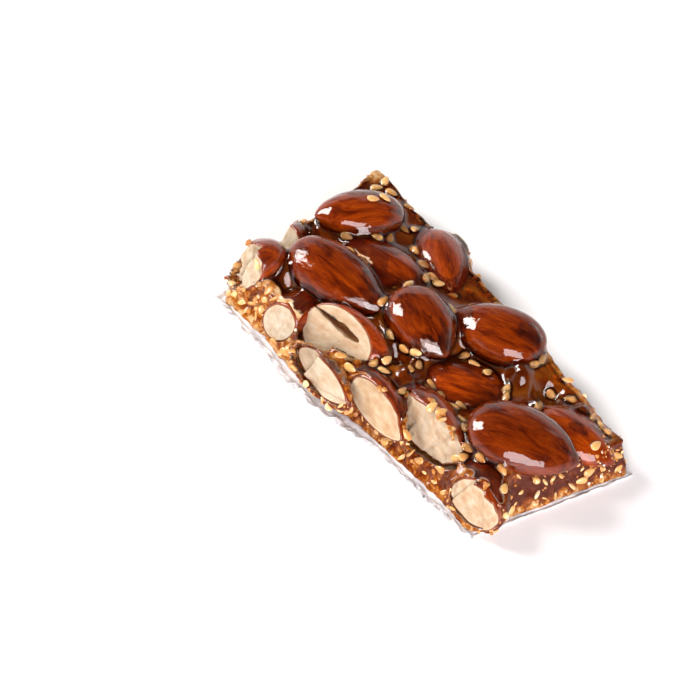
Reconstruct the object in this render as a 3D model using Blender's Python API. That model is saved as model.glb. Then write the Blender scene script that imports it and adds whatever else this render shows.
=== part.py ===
"""A slab of almond turron: whole and cut almonds set in brittle sesame caramel, on a wafer sheet.

Blender 4.5. Lengths below are in millimetres and become metres where a mesh is made. +Z is up, +X runs along
the slab, and the origin is the middle of the wafer's underside. The front (-Y) and the right end (+X) are knife
cuts that lean inwards, and they show the almonds that the knife went through.
"""

import math
import random
from typing import NamedTuple

import bmesh
import bpy
from mathutils import Matrix, Vector, noise
from mathutils.bvhtree import BVHTree

MM = 0.001
SEED = 7

# The slab. Corners are those of its underside, and the cut sides lean in as they rise.
CORNERS = {
    "front_left": (-40.4, -22.4),
    "front_right": (43.0, -18.4),
    "back_right": (48.6, 22.4),
    "back_left": (-49.8, 28.6),
}
LEAN = {"front": 4.6, "right": 3.4, "back": 0.4, "left": 1.0}
FRONT_BULGE = 2.6
FRONT_BULGE_AT = 0.38
CARAMEL_UNDERSIDE = 0.8
CARAMEL_TOP = 8.4
EDGE_ROLL = 1.7
MENISCUS = 1.7
SIDE_ROUGHNESS = 0.75
CELLS_ALONG = 32
CELLS_ACROSS = 16
SIDE_LEVELS = (0.3, 0.62)

# Pits where the syrup drew back between almonds: (x, y, radius, depth).
PITS = ((25.4, 16.8, 3.6, 3.2), (-0.6, -5.4, 3.4, 3.0), (-28.5, -14.2, 2.6, 1.6), (13.6, 3.6, 13.0, 2.2))

# The wafer sheet, and how far it stands out past the slab on each side.
WAFER_THICKNESS = 0.5
WAFER_OVERHANG = {"front": 2.4, "right": 0.9, "back": 1.0, "left": 2.4}
WAFER_RIM_STEPS = 76
WAFER_CURL = 0.9

# Almonds.
ALMOND_RINGS = 9
ALMOND_SIDES = 14
ALMOND_TAPER = 0.17
ALMOND_POINT = 0.38
POCKET_RINGS = 7
POCKET_SIDES = 10
FIT_GAP = 0.65

# Sesame.
SEED_LENGTH = 3.0
SEED_WIDTH = 1.9
SEED_THICKNESS = 1.0
SEEDS_ON_TOP = 34
SEEDS_ON_SIDES = 26


class Cut(NamedTuple):
    """A flat cut through an almond: which way it faces, and how far it lies from the almond's middle."""

    facing: float
    lean: float
    distance: float


class Almond(NamedTuple):
    """An almond by its middle, its turns in degrees (its tip points along +X before them) and its size."""

    name: str
    x: float
    y: float
    z: float
    yaw: float
    pitch: float
    roll: float
    length: float
    width: float
    thickness: float
    cuts: tuple = ()
    seeds: int = 0


FRONT = -88.0
BACK = 90.0
RIGHT = -8.0
LEFT = 176.0

ALMONDS = (
    # Whole almonds on the top.
    Almond("almond_back_left", -38.0, 13.3, 11.7, -112, -4, 6, 21.5, 13.2, 8.6, seeds=2),
    Almond("almond_behind_big", -24.4, 8.7, 8.2, 192, 4, -8, 24.0, 13.0, 8.2, seeds=1),
    Almond("almond_big_left", -24.7, -3.8, 11.8, 12, 4, 6, 26.0, 14.6, 9.6),
    Almond("almond_back_edge", -17.8, 22.5, 7.7, -28, 3, -10, 21.0, 12.4, 8.4, cuts=(Cut(140, 35, 8.8),), seeds=1),
    Almond("almond_middle", -3.8, 4.0, 11.5, -9, 5, 4, 20.5, 14.2, 8.8),
    Almond("almond_big_back", 7.0, 17.2, 11.2, 205, 2, -6, 22.5, 14.6, 9.0, seeds=1),
    Almond("almond_sunken", 13.2, 4.2, 5.7, 40, 2, 4, 20.5, 14.6, 6.8, seeds=7),
    Almond("almond_big_right", 35.1, 0.3, 11.8, 30, 3, 5, 26.0, 16.8, 9.8),
    Almond("almond_veiled", 37.6, 14.5, 6.7, 14, 2, -6, 21.0, 12.8, 7.8, seeds=3),
    # Almonds that the front cut went through, and one under the big almond.
    Almond("almond_cut_hollow", -10.7, -12.5, 8.8, 24, 0, 34, 22.5, 14.0, 8.6, cuts=(Cut(-82, 40, 1.2),)),
    Almond("almond_cut_upper", 19.1, -11.9, 7.4, -14, -3, 14, 25.5, 12.8, 8.4, cuts=(Cut(-97, 26, 1.6),), seeds=3),
    Almond("almond_cut_middle", 8.0, -17.6, 7.3, -12, 2, 24, 20.5, 10.0, 6.6, cuts=(Cut(-94, 24, 1.2),)),
    Almond("almond_cut_lower", -6.1, -22.9, 7.3, 2, 2, -40, 20.0, 10.2, 7.6, cuts=(Cut(FRONT, 22, 1.0),)),
    Almond("almond_cut_round", -25.2, -16.4, 5.2, -80, 6, 34, 15.0, 9.0, 7.0, cuts=(Cut(FRONT, 22, 3.6),)),
    Almond("almond_broken_left", -40.1, -18.0, 8.9, -108, 24, 30, 20.0, 13.0, 9.6, cuts=(Cut(-112, 8, 4.4), Cut(-170, 26, 4.8))),
    Almond("almond_broken_corner", 39.6, -15.3, 6.0, -32, 4, 20, 19.0, 12.0, 8.8, cuts=(Cut(-80, 22, 2.2), Cut(-30, 20, 5.6))),
    # Almonds cut through at the left end and along the back.
    Almond("almond_chip_left", -41.7, -3.1, 7.5, 112, 0, 10, 12.0, 9.0, 7.6, cuts=(Cut(-152, 10, 1.8), Cut(60, 10, 4.4))),
    Almond("almond_cut_end", -42.8, 18.8, 4.4, 168, 0, 12, 12.0, 9.0, 6.0, cuts=(Cut(LEFT, 14, 3.0),)),
    Almond("almond_cut_back", -1.8, 22.4, 4.7, 172, 2, 16, 16.0, 9.0, 6.6, cuts=(Cut(BACK, 12, 1.6),)),
    Almond("almond_cut_back_right", 15.6, 21.6, 3.8, 4, 2, -14, 13.0, 7.4, 4.8, cuts=(Cut(BACK, 12, 1.4),)),
)


# ---------------------------------------------------------------- helpers


def clear_scene():
    for obj in list(bpy.data.objects):
        bpy.data.objects.remove(obj, do_unlink=True)


def material(name, colour, roughness):
    made = bpy.data.materials.new(name)
    made.use_nodes = True
    shader = made.node_tree.nodes["Principled BSDF"]
    shader.inputs["Base Color"].default_value = (*colour, 1.0)
    shader.inputs["Roughness"].default_value = roughness
    return made


def mesh_object(name, bm, finish):
    """Makes an object of a bmesh that is in millimetres, as triangles so that the Booleans meet flat faces."""
    bmesh.ops.triangulate(bm, faces=bm.faces)
    bmesh.ops.recalc_face_normals(bm, faces=bm.faces)
    bmesh.ops.scale(bm, vec=(MM, MM, MM), verts=bm.verts)
    mesh = bpy.data.meshes.new(name)
    bm.to_mesh(mesh)
    bm.free()
    mesh.materials.append(finish)
    obj = bpy.data.objects.new(name, mesh)
    bpy.context.scene.collection.objects.link(obj)
    return obj


def combine(target, tools, operation, solver="EXACT"):
    """Joins the tools to the target, or cuts them from it, applies that, and removes the tools."""
    group = bpy.data.collections.new("tools")
    bpy.context.scene.collection.children.link(group)
    for tool in tools:
        bpy.context.scene.collection.objects.unlink(tool)
        group.objects.link(tool)
    modifier = target.modifiers.new("combine", "BOOLEAN")
    modifier.operation = operation
    modifier.solver = solver
    modifier.operand_type = "COLLECTION"
    modifier.collection = group
    bpy.context.view_layer.update()
    graph = bpy.context.evaluated_depsgraph_get()
    result = bpy.data.meshes.new_from_object(target.evaluated_get(graph))
    target.modifiers.clear()
    target.data = result
    for tool in list(tools):
        bpy.data.objects.remove(tool, do_unlink=True)
    bpy.data.collections.remove(group)
    keep_largest_body(target)


def keep_largest_body(obj):
    """Drops the scraps that a cut leaves loose and the hollows that a join seals."""
    bm = bmesh.new()
    bm.from_mesh(obj.data)
    bm.verts.ensure_lookup_table()
    seen = set()
    bodies = []
    for start in bm.verts:
        if start in seen:
            continue
        body = [start]
        seen.add(start)
        for vert in body:
            for edge in vert.link_edges:
                other = edge.other_vert(vert)
                if other not in seen:
                    seen.add(other)
                    body.append(other)
        bodies.append(body)
    bodies.sort(key=len)
    for body in bodies[:-1]:
        bmesh.ops.delete(bm, geom=body, context="VERTS")
    bm.to_mesh(obj.data)
    bm.free()


def surface_of(obj):
    """The object's surface for ray casts and nearest points, in metres."""
    bm = bmesh.new()
    bm.from_mesh(obj.data)
    tree = BVHTree.FromBMesh(bm)
    bm.free()
    return tree


def smoothstep(low, high, value):
    t = min(1.0, max(0.0, (value - low) / (high - low)))
    return t * t * (3 - 2 * t)


def wobble(x, y, z, size, amount):
    """A smooth, repeatable irregularity."""
    return amount * noise.noise(Vector((x, y, z)) / size)


# ---------------------------------------------------------------- almonds


def placement(almond):
    turn = (
        Matrix.Rotation(math.radians(almond.yaw), 4, "Z")
        @ Matrix.Rotation(math.radians(almond.pitch), 4, "Y")
        @ Matrix.Rotation(math.radians(almond.roll), 4, "X")
    )
    return Matrix.Translation((almond.x, almond.y, almond.z)) @ turn


def almond_point(almond, along, around, grow):
    """A point of the skin, from the tip (along 0) to the round end (along pi)."""
    c, s = math.cos(along), math.sin(along)
    reach = s ** (1 + ALMOND_POINT * max(0.0, c))
    half_width = (almond.width / 2 + grow) * reach * (1 - ALMOND_TAPER * c)
    half_thickness = (almond.thickness / 2 + grow) * reach * (1 - 0.5 * ALMOND_TAPER * c)
    lump = 1 + wobble(c * 2.0 + almond.x, math.cos(around), math.sin(around), 1.4, 0.05)
    return Vector(
        (
            (almond.length / 2 + grow) * c,
            half_width * math.cos(around) * lump,
            half_thickness * math.sin(around) * lump,
        )
    )


def almond_body(almond, ring_count=ALMOND_RINGS, sides=ALMOND_SIDES, grow=0.0):
    """The uncut almond in its place, as a bmesh in millimetres."""
    bm = bmesh.new()
    place = placement(almond)
    tip = bm.verts.new(place @ almond_point(almond, 0.0, 0.0, grow))
    end = bm.verts.new(place @ almond_point(almond, math.pi, 0.0, grow))
    rings = []
    for ring in range(1, ring_count):
        along = math.pi * ring / ring_count
        turns = [2 * math.pi * side / sides for side in range(sides)]
        rings.append([bm.verts.new(place @ almond_point(almond, along, around, grow)) for around in turns])
    for side in range(sides):
        after = (side + 1) % sides
        bm.faces.new((tip, rings[0][side], rings[0][after]))
        bm.faces.new((end, rings[-1][after], rings[-1][side]))
        for first, second in zip(rings, rings[1:]):
            bm.faces.new((first[side], second[side], second[after], first[after]))
    bmesh.ops.recalc_face_normals(bm, faces=bm.faces)
    return bm


def cut_normal(cut):
    facing, lean = math.radians(cut.facing), math.radians(cut.lean)
    return Vector((math.cos(facing) * math.cos(lean), math.sin(facing) * math.cos(lean), math.sin(lean)))


def slice_almond(bm, almond):
    """Takes off what lies beyond each cut, and closes the almond with the flat that the knife left."""
    for cut in almond.cuts:
        normal = cut_normal(cut)
        at = Vector((almond.x, almond.y, almond.z)) + normal * cut.distance
        whole = bm.verts[:] + bm.edges[:] + bm.faces[:]
        made = bmesh.ops.bisect_plane(bm, geom=whole, dist=1e-4, plane_co=at, plane_no=normal, clear_outer=True)
        rim = [item for item in made["geom_cut"] if isinstance(item, bmesh.types.BMEdge)]
        bmesh.ops.edgeloop_fill(bm, edges=rim)


def make_almond(almond, finish):
    bm = almond_body(almond)
    slice_almond(bm, almond)
    return mesh_object(almond.name, bm, finish)


def make_pocket(almond, finish):
    """What the almond takes out of the syrup: a coarser body, a little larger than it."""
    return mesh_object("pocket_" + almond.name, almond_body(almond, POCKET_RINGS, POCKET_SIDES, FIT_GAP), finish)


# ---------------------------------------------------------------- slab


def side_point(side, t, rise):
    """A point on one side of the slab's outline, t from 0 to 1 along +X or +Y, at a share of its height."""
    ends = {
        "front": ("front_left", "front_right"),
        "back": ("back_left", "back_right"),
        "left": ("front_left", "back_left"),
        "right": ("front_right", "back_right"),
    }[side]
    first, second = (corner_point(name, rise) for name in ends)
    x = first[0] + (second[0] - first[0]) * t
    y = first[1] + (second[1] - first[1]) * t
    if side == "front":
        y -= FRONT_BULGE * math.exp(-(((t - FRONT_BULGE_AT) / 0.16) ** 2))
    return x, y


def corner_point(name, rise):
    x, y = CORNERS[name]
    x += (LEAN["left"] if "left" in name else -LEAN["right"]) * rise
    y += (LEAN["front"] if "front" in name else -LEAN["back"]) * rise
    return x, y


def outline_to_plan(u, v, rise):
    """Spreads the four sides over the inside of the slab."""
    front, back = side_point("front", u, rise), side_point("back", u, rise)
    left, right = side_point("left", v, rise), side_point("right", v, rise)
    corners = [corner_point(name, rise) for name in ("front_left", "front_right", "back_left", "back_right")]
    plan = []
    for axis in (0, 1):
        ruled = (1 - v) * front[axis] + v * back[axis] + (1 - u) * left[axis] + u * right[axis]
        a, b, c, d = (corner[axis] for corner in corners)
        ruled -= (1 - u) * (1 - v) * a + u * (1 - v) * b + (1 - u) * v * c + u * v * d
        plan.append(ruled)
    return plan


def caramel_height(x, y, edge):
    """The height of the syrup's top: it rolls off at the edges, climbs the almonds and sinks in the pits."""
    height = CARAMEL_TOP + wobble(x, y, 3.0, 9.0, 0.9) - EDGE_ROLL * (1 - smoothstep(0.0, 3.4, edge))
    climb = 0.0
    for almond in ALMONDS:
        if almond.z < CARAMEL_TOP - 1.5:
            continue
        yaw = math.radians(almond.yaw)
        dx, dy = x - almond.x, y - almond.y
        along = (dx * math.cos(yaw) + dy * math.sin(yaw)) / (almond.length / 2)
        across = (dy * math.cos(yaw) - dx * math.sin(yaw)) / (almond.width / 2)
        climb = max(climb, math.exp(-(((math.hypot(along, across) - 1.0) / 0.2) ** 2)))
    height += MENISCUS * climb * smoothstep(0.0, 4.0, edge)
    for pit_x, pit_y, radius, depth in PITS:
        height -= depth * (1 - smoothstep(0.2, 1.0, math.hypot(x - pit_x, y - pit_y) / radius))
    return height


def slab_body():
    """The syrup before the almonds' pockets are cut: a grid on top, rough sides and a flat underside."""
    bm = bmesh.new()

    def vertex(i, j, rise):
        u, v = i / CELLS_ALONG, j / CELLS_ACROSS
        x, y = outline_to_plan(u, v, rise)
        rim = i in (0, CELLS_ALONG) or j in (0, CELLS_ACROSS)
        if rim and rise:
            level = rise * CARAMEL_TOP
            x += wobble(x, y, level, 3.2, SIDE_ROUGHNESS)
            y += wobble(y, level, x + 40, 3.2, SIDE_ROUGHNESS)
        span_x, span_y = 92.0, 44.0
        edge = min(u * span_x, (1 - u) * span_x, v * span_y, (1 - v) * span_y)
        top = caramel_height(x, y, edge)
        z = CARAMEL_UNDERSIDE + (top - CARAMEL_UNDERSIDE) * rise
        return bm.verts.new((x, y, z))

    top = [[vertex(i, j, 1.0) for j in range(CELLS_ACROSS + 1)] for i in range(CELLS_ALONG + 1)]
    for i in range(CELLS_ALONG):
        for j in range(CELLS_ACROSS):
            bm.faces.new((top[i][j], top[i + 1][j], top[i + 1][j + 1], top[i][j + 1]))
    loop = [(i, 0) for i in range(CELLS_ALONG)]
    loop += [(CELLS_ALONG, j) for j in range(CELLS_ACROSS)]
    loop += [(i, CELLS_ACROSS) for i in range(CELLS_ALONG, 0, -1)]
    loop += [(0, j) for j in range(CELLS_ACROSS, 0, -1)]
    above = [top[i][j] for i, j in loop]
    for rise in (*reversed(SIDE_LEVELS), 0.0):
        below = [vertex(i, j, rise) for i, j in loop]
        for k in range(len(loop)):
            after = (k + 1) % len(loop)
            bm.faces.new((above[k], below[k], below[after], above[after]))
        above = below
    bm.faces.new(above)
    return bm


# ---------------------------------------------------------------- sesame


def seed_body(at, normal, turn, size):
    """A sesame grain that lies on a surface, half sunk, with its sharp end along the turn."""
    bm = bmesh.new()
    bmesh.ops.create_uvsphere(bm, u_segments=6, v_segments=4, radius=0.5)
    for vert in bm.verts:
        x, y, z = vert.co.z, vert.co.x, vert.co.y
        taper = 1 - 0.5 * x
        vert.co = Vector((x * SEED_LENGTH, y * SEED_WIDTH * taper, z * SEED_THICKNESS * taper)) * size
    frame = normal.to_track_quat("Z", "Y").to_matrix().to_4x4()
    bm.transform(Matrix.Translation(at / MM) @ frame @ Matrix.Rotation(turn, 4, "Z"))
    return bm


def clear_of(trees, at, reach):
    return all(tree.find_nearest(at, reach * MM)[0] is None for tree in trees)


def scatter_seeds(rng, tree, others, count, shoot, taken, finish):
    """Lays grains where shots meet the surface, clear of the other solids and apart from each other."""
    grains = []
    for _ in range(count * 30):
        if len(grains) == count:
            break
        origin, direction = shoot(rng)
        at, normal, _, _ = tree.ray_cast(origin * MM, direction)
        if at is None or at.z < (CARAMEL_UNDERSIDE + 1.6) * MM:
            continue
        at = at + normal * 0.1 * MM
        reach = 0.5 * SEED_LENGTH + 0.35
        if not clear_of(others, at, reach) or any((at - other).length < SEED_LENGTH * MM for other in taken):
            continue
        taken.append(at)
        bm = seed_body(at, normal, rng.uniform(0, 2 * math.pi), rng.uniform(0.88, 1.08))
        grains.append(mesh_object("grain", bm, finish))
    return grains


def shoot_down(rng):
    return Vector((rng.uniform(-46, 46), rng.uniform(-20, 26), 60)), Vector((0, 0, -1))


def shoot_at_sides(rng):
    """Half of the shots meet the front, and the rest the right end, the back and the left end."""
    z = rng.uniform(CARAMEL_UNDERSIDE + 1.5, CARAMEL_TOP)
    aim = rng.choice("fffrrbbl")
    if aim == "f":
        return Vector((rng.uniform(-42, 42), -80, z)), Vector((0, 1, 0))
    if aim == "b":
        return Vector((rng.uniform(-46, 46), 80, z)), Vector((0, -1, 0))
    y = rng.uniform(-18, 22)
    return (Vector((90, y, z)), Vector((-1, 0, 0))) if aim == "r" else (Vector((-90, y, z)), Vector((1, 0, 0)))


def sprinkle_almond(rng, obj, almond, others, finish):
    """Lays grains on an almond's upper skin, clear of everything else."""

    def shoot(draw):
        reach = 0.42 * almond.length
        x, y = almond.x + draw.uniform(-reach, reach), almond.y + draw.uniform(-reach, reach)
        return Vector((x, y, 60)), Vector((0, 0, -1))

    return scatter_seeds(rng, surface_of(obj), others, almond.seeds, shoot, [], finish)


# ---------------------------------------------------------------- wafer


def wafer_overhang(x, y):
    """How far the sheet stands out past the slab, by the side it is on."""
    along, across = x / 48.0, y / 24.0
    if abs(across) > abs(along):
        return WAFER_OVERHANG["back" if y > 0 else "front"]
    return WAFER_OVERHANG["right" if x > 0 else "left"]


def wafer_loop(share):
    """One loop round the sheet, from under the slab's edge (share 0) to the torn rim (share 1)."""
    per_side = WAFER_RIM_STEPS // 4
    loop = []
    for side, towards in (("front", 1), ("right", 1), ("back", -1), ("left", -1)):
        for step in range(per_side):
            t = step / per_side
            x, y = side_point(side, t if towards > 0 else 1 - t, 0.0)
            out = Vector((x, 2.0 * y)).normalized()
            reach = wafer_overhang(x, y) * (1 + wobble(x, y, 8.0, 3.6, 0.7))
            lift = WAFER_CURL * (0.5 + wobble(x, y, 20.0, 3.4, 1.0)) * reach / WAFER_OVERHANG["front"]
            curl = max(0.0, lift) if share == 1.0 else 0.0
            loop.append(Vector((x + out.x * reach * share, y + out.y * reach * share, curl)))
    return loop


def make_wafer(finish):
    bm = bmesh.new()
    loops = [wafer_loop(share) for share in (0.0, 0.55, 1.0)]
    faces = []
    for lift in (0.0, WAFER_THICKNESS):
        rows = [[bm.verts.new(point + Vector((0, 0, lift))) for point in loop] for loop in loops]
        faces.append(rows)
        bm.faces.new(rows[0])
        for inner, outer in zip(rows, rows[1:]):
            for k in range(len(inner)):
                after = (k + 1) % len(inner)
                bm.faces.new((inner[k], inner[after], outer[after], outer[k]))
    under, over = faces[0][-1], faces[1][-1]
    for k in range(len(under)):
        after = (k + 1) % len(under)
        bm.faces.new((under[k], under[after], over[after], over[k]))
    return mesh_object("wafer_sheet", bm, finish)


# ---------------------------------------------------------------- build


def main():
    clear_scene()
    rng = random.Random(SEED)
    caramel = material("caramel", (0.30, 0.10, 0.02), 0.12)
    skin = material("almond_skin", (0.26, 0.06, 0.015), 0.15)
    paper = material("wafer", (0.83, 0.80, 0.76), 0.7)

    almonds = {almond.name: make_almond(almond, skin) for almond in ALMONDS}
    slab = mesh_object("caramel_slab", slab_body(), caramel)
    combine(slab, [make_pocket(almond, caramel) for almond in ALMONDS], "DIFFERENCE")
    wafer = make_wafer(paper)

    solids = {name: surface_of(obj) for name, obj in almonds.items()}
    solids["wafer_sheet"] = surface_of(wafer)
    solids["caramel_slab"] = surface_of(slab)
    around_slab = [tree for name, tree in solids.items() if name != "caramel_slab"]
    taken = []
    grains = scatter_seeds(rng, solids["caramel_slab"], around_slab, SEEDS_ON_TOP, shoot_down, taken, caramel)
    grains += scatter_seeds(rng, solids["caramel_slab"], around_slab, SEEDS_ON_SIDES, shoot_at_sides, taken, caramel)
    combine(slab, grains, "UNION")
    solids["caramel_slab"] = surface_of(slab)

    for almond in ALMONDS:
        if almond.seeds:
            others = [tree for name, tree in solids.items() if name != almond.name]
            grains = sprinkle_almond(rng, almonds[almond.name], almond, others, skin)
            if grains:
                combine(almonds[almond.name], grains, "UNION")


main()
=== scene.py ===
"""The looks of a slab of almond turron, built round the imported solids.

Shapes are worked out in millimetres as signed distances (below 0 is inside), turned into meshes, and scaled
to metres. The caramel is one clear body that the almonds and the sesame lie in.
"""

import itertools
import math
import random
from typing import NamedTuple

import bmesh
import bpy
import numpy as np
from mathutils import Matrix, Vector


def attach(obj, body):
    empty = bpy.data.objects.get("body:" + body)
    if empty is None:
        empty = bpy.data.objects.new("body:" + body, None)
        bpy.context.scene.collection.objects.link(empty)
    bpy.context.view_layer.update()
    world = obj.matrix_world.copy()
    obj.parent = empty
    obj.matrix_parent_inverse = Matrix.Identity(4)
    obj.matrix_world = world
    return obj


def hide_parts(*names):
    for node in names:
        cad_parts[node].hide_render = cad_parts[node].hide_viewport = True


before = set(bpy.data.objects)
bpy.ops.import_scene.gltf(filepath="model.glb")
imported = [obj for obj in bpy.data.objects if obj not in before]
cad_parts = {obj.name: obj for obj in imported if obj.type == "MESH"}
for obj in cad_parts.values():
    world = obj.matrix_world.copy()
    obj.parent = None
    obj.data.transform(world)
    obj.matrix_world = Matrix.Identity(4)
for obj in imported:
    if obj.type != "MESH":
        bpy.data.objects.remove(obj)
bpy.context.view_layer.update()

MM = 0.001
SEED = 11
COARSE = 1.0
ALMOND_STEP = 0.3 * COARSE
CARAMEL_STEP = 0.38 * COARSE

# -------- layout, as in the solids

CORNERS = {
    "front_left": (-40.4, -22.4),
    "front_right": (43.0, -18.4),
    "back_right": (48.6, 22.4),
    "back_left": (-49.8, 28.6),
}
LEAN = {"front": 4.6, "right": 3.4, "back": 0.4, "left": 1.0}
FRONT_BULGE = 2.6
FRONT_BULGE_AT = 0.38
FRONT_BULGE_WIDTH = 0.16
FOOT = 0.8
UNDERSIDE = 0.55
TOP = 8.4
# Where the caramel's top sinks and where it rises: x, y, radius, and how much.
PITS = (
    (25.4, 16.4, 4.8, 3.0), (-0.6, -5.4, 3.8, 3.0), (-28.5, -14.2, 2.6, 1.6), (13.6, 3.6, 14.0, 3.0),
    (39.0, 15.0, 13.0, 2.6),
)
MOUNDS = (
    (18.6, 13.8, 4.2, 2.6), (-33.0, -12.2, 3.2, 2.2), (33.6, 19.2, 3.2, 1.8), (4.4, -7.8, 2.4, 1.4),
    (27.0, 12.0, 2.6, 1.6),
)
ALMOND_TAPER = 0.17
ALMOND_POINT = 0.38
GROOVE_WIDTH = 0.25
SEED_SIZE = np.array((1.5, 0.92, 0.45))
SEED_TAPER = 0.32
SEED_REACH = 3.4
SEED_RINGS, SEED_SIDES = 9, 12
DOWN = np.array((0.0, 0.0, -1.0))
ABOVE = 17.0
TOP_TRIES = 1300
SIDE_TRIES = 1500


class Cut(NamedTuple):
    """A cut through an almond: which way it faces, its lean, and how far it lies from the almond's middle."""

    facing: float
    lean: float
    distance: float


class Step(NamedTuple):
    """A step across a torn face: the way it falls, in degrees from along the almond, where, and how far."""

    way: float
    at: float
    drop: float
    width: float = 0.15
    groove: float = 0.0


class Almond(NamedTuple):
    """An almond by its middle, its turns in degrees, its size, the caramel on it, and its looks."""

    name: str
    x: float
    y: float
    z: float
    yaw: float
    pitch: float
    roll: float
    length: float
    width: float
    thickness: float
    cuts: tuple = ()
    veil: float = -0.07
    climb: float = 5.0
    rough: float = 0.1
    tone: float = 1.0
    wrinkle: float = 0.1
    pale: float = 0.5
    steps: tuple = ()


WHOLE = (
    Almond("almond_back_left", -38.0, 13.3, 11.7, -112, -4, 6, 21.5, 13.2, 8.6, tone=0.9),
    Almond("almond_behind_big", -24.4, 8.7, 8.2, 192, 4, -8, 24.0, 13.0, 8.2, tone=1.02),
    Almond("almond_big_left", -24.7, -3.8, 11.8, 12, 4, 6, 26.0, 14.6, 9.6, tone=0.75, wrinkle=0.5),
    Almond("almond_middle", -3.8, 4.0, 11.5, -9, 5, 4, 20.5, 14.2, 8.8, tone=0.72),
    Almond("almond_big_back", 7.0, 17.2, 11.2, 205, 2, -6, 22.5, 14.6, 9.0, tone=0.78),
    Almond(
        "almond_sunken", 13.2, 4.2, 5.7, 40, 2, 4, 20.5, 14.6, 7.4,
        veil=-0.08, climb=1.6, tone=1.2, wrinkle=0.2,
    ),
    Almond("almond_big_right", 35.1, 0.3, 11.8, 30, 3, 5, 26.0, 16.8, 9.8, tone=0.65),
    Almond("almond_veiled", 37.6, 14.5, 6.7, 14, 2, -6, 21.0, 12.8, 7.8, veil=-0.08, climb=2.4, tone=1.12),
)
OPENED = (
    Almond(
        "almond_back_edge", -17.8, 22.5, 7.7, -28, 3, -10, 21.0, 12.4, 8.4,
        cuts=(Cut(140, 35, 8.8),), tone=1.1,
    ),
    Almond(
        "almond_cut_hollow", -10.7, -12.5, 8.8, 24, 0, 34, 22.5, 14.0, 8.6,
        cuts=(Cut(-82, 40, 1.2),), tone=1.4, pale=0.45,
    ),
    Almond(
        "almond_cut_upper", 19.1, -11.9, 7.4, -14, -3, 14, 25.5, 12.8, 8.4,
        cuts=(Cut(-97, 26, 1.6),), rough=0.5, pale=0.7,
        steps=(Step(60, 2.0, 0.9, 0.4), Step(-20, 3.5, 0.8, 0.3)),
    ),
    Almond(
        "almond_cut_middle", 8.0, -17.6, 7.3, -12, 2, 24, 20.5, 10.0, 6.6,
        cuts=(Cut(-94, 24, 1.2),), pale=0.15, steps=(Step(100, 1.2, 0.6, 0.8),),
    ),
    Almond(
        "almond_cut_lower", -6.1, -22.9, 7.3, 2, 2, -40, 20.0, 10.2, 7.6,
        cuts=(Cut(-88, 22, 1.0),), pale=0.8,
        steps=(Step(165, 3.6, 1.2, 0.2, 0.3), Step(-134, 1.6, 1.7, 2.2), Step(-72, 2.6, 0.4, 0.2, 0.2)),
    ),
    Almond(
        "almond_cut_round", -25.2, -16.4, 5.2, -80, 6, 34, 16.0, 12.0, 9.4,
        cuts=(Cut(-88, 22, 3.2),), rough=0.2, pale=1.0,
    ),
    Almond(
        "almond_broken_left", -40.1, -18.0, 8.9, -108, 24, 30, 20.0, 13.0, 9.6,
        cuts=(Cut(-100, 14, 1.2), Cut(-176, 8, 4.2)), rough=0.5, pale=0.9,
        steps=(Step(-80, -1.2, 1.5, 0.3), Step(-20, 1.5, 1.0, 0.3), Step(150, 3.0, 0.8, 0.3)),
    ),
    Almond(
        "almond_broken_corner", 39.6, -15.3, 6.0, -32, 4, 20, 19.0, 12.0, 8.8,
        cuts=(Cut(-80, 22, 2.2), Cut(-30, 20, 5.6)), rough=0.3, pale=0.4,
        steps=(Step(180, 3.4, 0.9, 0.2, 0.25), Step(45, 2.6, -0.7, 0.3), Step(-60, 2.0, 0.8, 1.2)),
    ),
    Almond(
        "almond_chip_left", -41.7, -3.1, 7.5, 112, 0, 10, 12.0, 9.0, 7.6,
        cuts=(Cut(-100, 20, 0.5), Cut(-152, 10, 1.8), Cut(60, 10, 4.4)), rough=0.2, pale=0.9,
    ),
    Almond("almond_cut_end", -42.8, 18.8, 4.4, 168, 0, 12, 12.0, 9.0, 6.0, cuts=(Cut(176, 14, 3.0),)),
    Almond("almond_cut_back", -1.8, 22.4, 4.7, 172, 2, 16, 16.0, 9.0, 6.6, cuts=(Cut(90, 12, 1.6),)),
    Almond("almond_cut_back_right", 15.6, 21.6, 3.8, 4, 2, -14, 13.0, 7.4, 4.8, cuts=(Cut(90, 12, 1.4),)),
)
ALMONDS = WHOLE + OPENED

# -------- numbers and noise


def lattice(cell, seed):
    """A repeatable number from -1 to 1 for each corner of a lattice."""
    x, y, z = (cell[:, k].astype(np.uint32) for k in range(3))
    h = x * np.uint32(73856093) ^ y * np.uint32(19349663) ^ z * np.uint32(83492791)
    h = h ^ np.uint32(seed * 2654435761 % 2**32)
    h = (h ^ (h >> np.uint32(13))) * np.uint32(1274126177)
    h = (h ^ (h >> np.uint32(16))) * np.uint32(2246822519)
    return ((h >> np.uint32(8)) & np.uint32(0xFFFF)).astype(np.float64) / 32767.5 - 1.0


def noise(p, size, seed=0):
    """Smooth noise from -1 to 1 with features of a size in millimetres."""
    q = p / size + 1000.0
    cell = np.floor(q).astype(np.int64)
    f = q - cell
    u = f * f * f * (f * (f * 6 - 15) + 10)
    total = np.zeros(len(p))
    for at in itertools.product((0, 1), repeat=3):
        x, y, z = (u[:, k] if at[k] else 1 - u[:, k] for k in range(3))
        total += x * y * z * lattice(cell + np.array(at), seed)
    return total


def shards(p, size, seed=0):
    """The distance to the nearest point of a jittered lattice, as a share of its size: small dished faces."""
    q = p / size + 1000.0
    cell = np.floor(q).astype(np.int64)
    nearest = np.full(len(p), 9.0)
    for offset in itertools.product((-1, 0, 1), repeat=3):
        at = cell + np.array(offset)
        middle = at + 0.5 + 0.42 * np.stack([lattice(at, seed + k) for k in range(3)], axis=1)
        nearest = np.minimum(nearest, ((q - middle) ** 2).sum(axis=1))
    return np.sqrt(nearest)


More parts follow.
